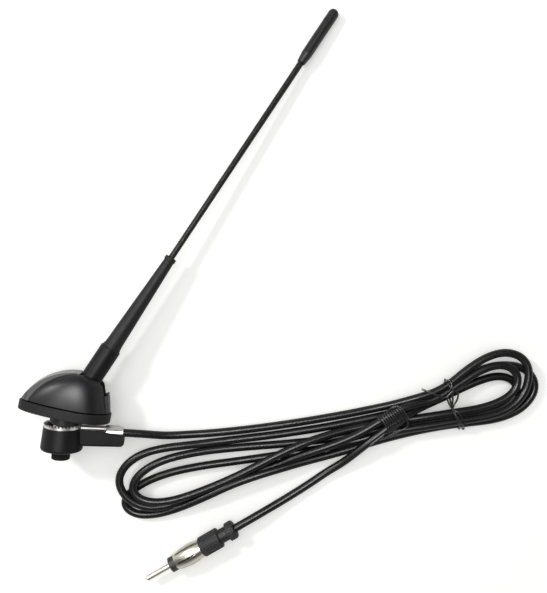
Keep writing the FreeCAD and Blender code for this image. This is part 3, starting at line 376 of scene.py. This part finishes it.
# The lead, as one soft line from inside the ferrule, four times round the hank and out to the plug
lead = {
    "thickness": 4.6,
    "rings": 5,
    "length": 1.957,  # metres, as measured along the line
    "fromFerrule": [(-41.4, -113.6, 11.9), (-25.8, -114.8, 9.4), (-10.0, -117.3, 3.9), (4.2, -116.7, 2.4)],
    "firstUpperRun": [
        (13.4, -116.2, 2.4), (25.5, -115.1, 2.4), (38.2, -113.7, 2.4), (52.6, -111.8, 2.4), (67.0, -109.7, 2.4),
        (81.4, -107.3, 2.4), (95.9, -104.7, 2.4), (108.5, -102.1, 2.6), (118.6, -99.7, 4.2), (127.5, -97.0, 5.8),
        (136.4, -94.3, 6.9), (144.4, -91.6, 7.0), (152.3, -87.1, 7.0)],
    "firstRightBend": [
        (162.0, -78.9, 7.0), (171.7, -72.5, 7.0), (180.8, -69.2, 7.0), (188.8, -69.6, 7.0), (194.5, -72.9, 7.2),
        (197.2, -78.5, 7.4), (196.9, -85.4, 7.4), (194.7, -92.2, 7.2), (189.7, -98.5, 7.0), (182.6, -103.1, 7.0),
        (172.9, -105.9, 7.0)],
    "firstLowerRun": [
        (161.5, -107.7, 7.0), (151.2, -109.3, 7.0), (141.0, -111.0, 6.9), (130.8, -112.6, 6.6), (121.2, -114.2, 6.0),
        (110.5, -117.0, 4.8), (99.2, -120.3, 3.6), (87.8, -123.1, 2.5), (76.2, -125.4, 2.4), (64.7, -127.3, 2.4),
        (53.2, -128.9, 2.4), (41.6, -130.6, 2.4), (27.8, -132.5, 2.4), (12.8, -134.5, 2.4), (-1.0, -137.0, 2.4)],
    "firstLeftBend": [
        (-12.0, -140.0, 2.4), (-21.2, -143.7, 2.4), (-28.4, -148.0, 2.4), (-33.8, -153.2, 2.4), (-33.5, -158.9, 2.4),
        (-27.5, -162.8, 2.4), (-18.9, -163.2, 2.4), (-9.1, -161.2, 2.6)],
    "secondLowerRun": [
        (2.6, -156.7, 4.0), (14.3, -151.1, 5.8), (26.9, -145.0, 6.8), (40.6, -139.9, 7.0), (54.3, -136.1, 5.8),
        (68.1, -132.6, 3.4), (83.2, -128.9, 2.4), (97.0, -125.0, 2.4), (110.8, -120.6, 2.4), (124.7, -116.9, 2.4),
        (138.5, -113.8, 2.4), (152.4, -111.4, 2.4), (165.1, -109.9, 2.4)],
    "secondRightBend": [
        (176.6, -108.6, 2.4), (185.8, -106.2, 2.4), (193.6, -102.4, 2.4), (199.1, -97.2, 2.4), (202.2, -91.5, 2.4),
        (202.0, -85.4, 2.4), (198.5, -80.2, 2.4), (192.2, -77.3, 2.4), (184.1, -76.6, 2.4), (174.9, -78.0, 2.4)],
    "secondUpperRun": [
        (165.1, -81.8, 2.4), (155.8, -86.4, 2.4), (146.6, -92.0, 2.4), (137.4, -97.1, 2.4), (128.1, -101.7, 2.4),
        (117.8, -105.2, 2.4), (107.4, -107.4, 2.4), (94.7, -110.0, 2.4), (80.9, -112.7, 2.4), (67.0, -114.9, 2.4),
        (53.2, -116.9, 2.4), (38.2, -118.7, 2.4), (24.4, -120.3, 2.6), (11.8, -121.7, 3.6)],
    "secondLeftBend": [
        (0.5, -122.6, 5.4), (-11.3, -123.8, 6.6), (-22.1, -126.4, 7.0), (-30.9, -131.6, 7.0), (-35.9, -138.4, 7.0),
        (-36.3, -144.7, 7.0), (-33.2, -150.7, 7.0), (-27.5, -155.3, 6.8), (-19.7, -158.1, 6.2), (-10.5, -157.7, 4.6)],
    "crossingRun": [
        (-0.4, -154.8, 3.0), (11.1, -150.3, 2.4), (24.3, -144.8, 2.4), (38.2, -140.1, 2.4), (50.9, -135.3, 2.6),
        (64.6, -129.5, 4.6), (78.3, -124.4, 6.9), (90.7, -119.9, 7.4), (100.9, -115.1, 8.0), (110.5, -109.3, 8.7),
        (118.4, -104.1, 9.0), (125.8, -100.4, 8.6), (133.4, -98.4, 7.6), (140.9, -97.1, 7.0), (148.4, -93.4, 7.0)],
    "thirdRightBend": [
        (155.2, -88.8, 7.0), (161.5, -84.6, 7.0), (169.4, -79.5, 7.0), (178.6, -76.2, 7.0), (186.0, -77.0, 7.0),
        (190.5, -81.1, 7.0), (191.1, -86.6, 7.0), (188.5, -92.0, 7.0), (182.8, -96.3, 7.0), (174.6, -99.7, 7.0),
        (164.9, -102.0, 7.0)],
    "thirdLowerRun": [
        (154.6, -103.4, 7.0), (144.9, -105.0, 7.0), (135.4, -106.6, 6.4), (125.3, -108.3, 5.2), (114.0, -110.1, 4.4),
        (102.5, -111.9, 4.2), (91.0, -114.4, 4.6), (79.5, -117.6, 5.8), (69.1, -121.0, 6.9), (60.0, -124.9, 7.1),
        (50.9, -129.4, 7.0), (40.6, -134.8, 7.0), (29.2, -140.5, 6.8), (16.6, -146.0, 6.6), (5.8, -150.1, 6.6)],
    "thirdLeftBend": [
        (-3.9, -153.2, 6.8), (-13.0, -154.7, 7.0), (-20.9, -154.2, 7.0), (-26.9, -151.0, 7.0), (-28.9, -145.8, 7.0),
        (-26.1, -139.9, 7.0), (-18.7, -134.0, 7.0), (-8.5, -129.7, 6.6), (2.2, -127.4, 5.2)],
    "lastMiddleRun": [
        (14.1, -125.8, 3.6), (26.1, -124.7, 2.6), (39.3, -123.6, 2.4), (52.0, -122.7, 2.4), (63.6, -121.6, 2.4),
        (73.9, -120.6, 2.4), (84.3, -119.2, 2.4), (95.9, -117.2, 2.4), (107.4, -115.2, 2.4), (118.9, -113.1, 2.4),
        (130.5, -111.4, 2.4), (140.8, -109.6, 2.4), (151.2, -107.8, 2.4), (161.6, -106.1, 2.4)],
    "lastRightBend": [
        (170.8, -104.4, 2.4), (178.3, -102.8, 2.4), (185.2, -100.1, 2.4), (190.1, -96.0, 2.4), (192.4, -90.9, 2.4),
        (190.4, -86.0, 2.4), (185.2, -83.4, 2.4), (178.3, -83.3, 2.4), (169.7, -86.0, 2.4), (161.0, -89.8, 2.4)],
    "runToPlug": [
        (153.5, -93.5, 2.4), (146.5, -96.8, 2.6), (139.8, -99.3, 4.2), (132.4, -102.3, 6.8), (125.2, -106.1, 8.8),
        (117.8, -111.0, 9.0), (111.1, -116.0, 8.7), (104.3, -121.4, 8.0), (97.7, -127.2, 6.4), (91.1, -132.8, 4.2),
        (82.0, -138.6, 2.4), (71.0, -146.2, 2.4), (54.5, -156.2, 3.0), (38.3, -164.8, 5.8), (26.1, -171.8, 5.8)],
}
leadPoints = []
for part, points in lead.items():
    if isinstance(points, list):
        leadPoints += points
coaxLead = softLine("coax_lead", leadPoints, lead["thickness"], lead["rings"], finishes["leadJacket"])
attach(coaxLead, "base")
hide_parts("lead_run_base", "lead_run_plug", "lead_hank")
print("lead has", len(leadPoints), "points")

# The wire wound round the two strands that lie on top, and its two loose lengths
wrap = {
    "turns": 10,
    "stepsPerSide": 6,
    "reach": 2.95,  # from a strand's middle to the wire's
    "wire": 1.2,
    "rings": 2,
    "upperStrand": ((112.2, -108.1, 8.8), (124.6, -101.0, 8.7)),
    "lowerStrand": ((115.2, -112.8, 8.95), (127.3, -104.9, 8.2)),
    "looseLoop": [
        (116.0, -105.6, 7.0), (116.2, -103.4, 9.0), (117.3, -101.0, 10.6), (119.7, -99.3, 11.2), (122.4, -99.3, 11.4),
        (124.5, -100.9, 11.9), (126.2, -103.6, 11.7), (127.4, -107.0, 11.1), (127.7, -110.0, 10.3),
        (126.5, -112.0, 9.8), (123.7, -112.9, 9.6), (120.9, -114.3, 9.6), (118.0, -115.7, 9.6), (115.2, -116.7, 9.7),
        (113.0, -116.6, 10.4), (111.8, -115.4, 11.2)],
    "looseEnd": [(114.2, -114.8, 11.3), (112.6, -116.2, 11.5), (109.8, -118.4, 11.2), (106.4, -121.2, 10.6)],
}


# half a turn over and round the upper strand, then half a turn under and round the lower one
def wrapPoints(sizes):
    points = []
    steps = sizes["stepsPerSide"]
    total = sizes["turns"] * 2 * steps
    up = Vector((0, 0, 1))
    for i in range(total + 1):
        upper, lower = (Vector(sizes[strand][0]).lerp(Vector(sizes[strand][1]), i / total)
                        for strand in ("upperStrand", "lowerStrand"))
        outward = (upper - lower).normalized()
        onLower = (i // steps) % 2
        centre = lower if onLower else upper
        turn = math.pi / 2 - math.pi * (i % steps) / (steps - 1) + math.pi * onLower
        points.append(centre + sizes["reach"] * (math.cos(turn) * outward + math.sin(turn) * up))
    return points


wrapWire = wirePiece("wrap_wire", wrap, [wrapPoints(wrap), wrap["looseLoop"], wrap["looseEnd"]])
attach(wrapWire, "base")
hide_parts("wrap_tie")

# The wire tied round the whole hank, crossing over itself in the gap between its two sides
tie = {
    "wire": 1.05,
    "rings": 2,
    "roundTheHank": [
        (150.5, -84.9, 0.9), (150.3, -84.9, 4.8), (150.6, -85.6, 8.4), (151.3, -87.6, 10.1), (152.2, -90.8, 10.0),
        (153.3, -94.2, 9.6), (154.0, -97.4, 6.6), (153.6, -99.9, 6.2), (153.5, -101.9, 9.0), (154.4, -104.3, 10.0),
        (156.0, -107.4, 9.8), (157.4, -110.2, 8.6), (158.4, -112.6, 5.2), (158.7, -113.6, 2.6), (158.5, -113.2, 0.6),
        (156.0, -105.0, 0.6), (153.0, -93.0, 0.6)],
    "looseEnd": [
        (135.9, -89.9, 8.6), (138.3, -90.8, 9.2), (141.0, -91.8, 9.9), (144.0, -93.1, 10.1), (147.0, -94.4, 9.9),
        (149.4, -94.6, 9.8), (151.4, -92.6, 10.2), (153.0, -90.4, 10.5), (155.2, -90.4, 10.1), (156.7, -92.8, 9.0),
        (156.3, -96.2, 7.6), (154.6, -99.2, 6.8), (153.4, -101.2, 8.2), (154.0, -103.2, 9.9), (155.6, -105.4, 10.4),
        (157.6, -108.4, 10.0), (159.6, -110.8, 8.4), (160.9, -113.0, 4.8), (161.2, -114.0, 2.0), (160.9, -113.6, 0.7)],
    "shortEnd": [
        (150.2, -95.0, 8.6), (151.4, -97.6, 6.6), (152.6, -100.2, 7.2), (153.6, -101.6, 9.2), (156.2, -102.8, 10.2),
        (158.6, -106.0, 10.0), (160.2, -109.4, 9.2)],
    "topKnot": [
        (148.6, -86.6, 8.2), (149.6, -85.0, 8.6), (151.2, -84.6, 8.8), (152.4, -85.6, 9.4), (152.6, -87.6, 10.3),
        (152.0, -89.6, 10.2)],
}
tieWire = wirePiece("tie_wire", tie, [tie["roundTheHank"], tie["looseEnd"], tie["shortEnd"], tie["topKnot"]],
                    closedOnes=(0,))
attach(tieWire, "base")
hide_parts("hank_tie")
print("ties made")

# Pale table, seen as plain white away from the antenna. It is lifted for the camera alone.
floor = {
    "size": 6.0,
    "height": -0.0002,
    "color": (0.86, 0.86, 0.83, 1),
    "lift": 0.32,
    "fadeFrom": 0.2,
    "fadeTo": 0.5,
    "mirrored": 0.7,  # how white the far table is in reflections
}
half = floor["size"] / 2
corners = [(x, y, floor["height"]) for x, y in ((-half, -half), (half, -half), (half, half), (-half, half))]
mesh = bpy.data.meshes.new("table")
mesh.from_pydata(corners, [], [(0, 1, 2, 3)])
table = bpy.data.objects.new("table", mesh)
bpy.context.collection.objects.link(table)
paper = bpy.data.materials.new("paper")
paper.use_nodes = True
mesh.materials.append(paper)
tree = paper.node_tree
tree.nodes.remove(tree.nodes["Principled BSDF"])
matt = addNode(tree, "ShaderNodeBsdfDiffuse", {"Color": floor["color"]})
glow = addNode(tree, "ShaderNodeEmission")
white = addNode(tree, "ShaderNodeEmission")
seen = addNode(tree, "ShaderNodeLightPath").outputs
eyes = addNode(tree, "ShaderNodeMath", operation="MAXIMUM")
paleness = addNode(tree, "ShaderNodeMapRange", {"To Min": floor["mirrored"], "To Max": 1})
power = addNode(tree, "ShaderNodeMath", {1: floor["lift"]}, operation="MULTIPLY")
both = addNode(tree, "ShaderNodeAddShader")
spot = addNode(tree, "ShaderNodeTexCoord")
away = addNode(tree, "ShaderNodeVectorMath", operation="LENGTH")
fade = addNode(tree, "ShaderNodeMapRange", {"From Min": floor["fadeFrom"], "From Max": floor["fadeTo"]})
fade.interpolation_type = "SMOOTHSTEP"
share = addNode(tree, "ShaderNodeMath", operation="MULTIPLY")
blend = addNode(tree, "ShaderNodeMixShader")
join(tree,
     (seen["Is Camera Ray"], eyes.inputs[0]), (seen["Is Glossy Ray"], eyes.inputs[1]),
     (seen["Is Camera Ray"], paleness.inputs["Value"]), (paleness.outputs["Result"], white.inputs["Strength"]),
     (seen["Is Camera Ray"], power.inputs[0]), (power.outputs[0], glow.inputs["Strength"]),
     (matt.outputs[0], both.inputs[0]), (glow.outputs[0], both.inputs[1]),
     (spot.outputs["Object"], away.inputs[0]), (away.outputs["Value"], fade.inputs["Value"]),
     (fade.outputs["Result"], share.inputs[0]), (eyes.outputs[0], share.inputs[1]),
     (share.outputs[0], blend.inputs[0]), (both.outputs[0], blend.inputs[1]), (white.outputs[0], blend.inputs[2]),
     (blend.outputs[0], tree.nodes["Material Output"].inputs["Surface"]))

# White all round for the camera; reflections meet it bright low down and dim overhead
sky = {"fill": 0.42, "low": 0.75, "overhead": 0.04, "dimFrom": 0.1, "dimTo": 0.7}
world = bpy.data.worlds.new("studio")
bpy.context.scene.world = world
world.use_nodes = True
tree = world.node_tree
air = tree.nodes["Background"]
air.inputs["Color"].default_value = (1, 1, 1, 1)
seen = addNode(tree, "ShaderNodeLightPath").outputs
towards = addNode(tree, "ShaderNodeTexCoord")
split = addNode(tree, "ShaderNodeSeparateXYZ")
dim = addNode(tree, "ShaderNodeMapRange",
              {"From Min": sky["dimFrom"], "From Max": sky["dimTo"], "To Min": sky["low"], "To Max": sky["overhead"]})
dim.interpolation_type = "SMOOTHSTEP"
shiny = addNode(tree, "ShaderNodeMix", {"A": sky["fill"]})
direct = addNode(tree, "ShaderNodeMath", operation="MAXIMUM")
plain = addNode(tree, "ShaderNodeMix", {"B": 1})
join(tree,
     (towards.outputs["Generated"], split.inputs["Vector"]), (split.outputs["Z"], dim.inputs["Value"]),
     (seen["Is Glossy Ray"], shiny.inputs["Factor"]), (dim.outputs["Result"], shiny.inputs["B"]),
     (seen["Is Camera Ray"], direct.inputs[0]), (seen["Is Transmission Ray"], direct.inputs[1]),
     (direct.outputs[0], plain.inputs["Factor"]), (shiny.outputs["Result"], plain.inputs["A"]),
     (plain.outputs["Result"], air.inputs["Strength"]))

# Soft boxes. The gloss box is met by highlights alone.
lights = {
    "overheadBox": {"place": (-0.1, 0.1, 1.1), "aim": (0, -0.05, 0), "size": 1.0, "watts": 4.4, "onMatt": True},
    "sideBox": {"place": (-0.74, 0.47, 0.78), "aim": (0.03, -0.04, 0), "size": 0.14, "watts": 5.2, "onMatt": True},
    "glossBox": {"place": (-0.1, 0.07, 0.9), "aim": (0, -0.05, 0), "size": 0.28, "watts": 5.6, "onMatt": False},
}
for name, light in lights.items():
    lamp = bpy.data.lights.new(name, "AREA")
    lamp.energy = light["watts"]
    lamp.shape = "SQUARE"
    lamp.size = light["size"]
    holder = bpy.data.objects.new(name, lamp)
    holder.location = light["place"]
    holder.rotation_euler = (Vector(light["aim"]) - Vector(light["place"])).to_track_quat("-Z", "Y").to_euler()
    holder.visible_diffuse = light["onMatt"]
    bpy.context.collection.objects.link(holder)

# Camera straight above the table, as in the photograph
eye = {"place": (0.05174, -0.03726, 0.406), "lens": 42.5, "sensor": 36, "nearest": 0.01}
camera = bpy.data.cameras.new("camera")
camera.lens = eye["lens"]
camera.sensor_width = eye["sensor"]
camera.clip_start = eye["nearest"]
holder = bpy.data.objects.new("camera", camera)
holder.location = eye["place"]
bpy.context.collection.objects.link(holder)
bpy.context.scene.camera = holder
bpy.context.scene.view_settings.view_transform = "Standard"
print("table, lights and camera placed")
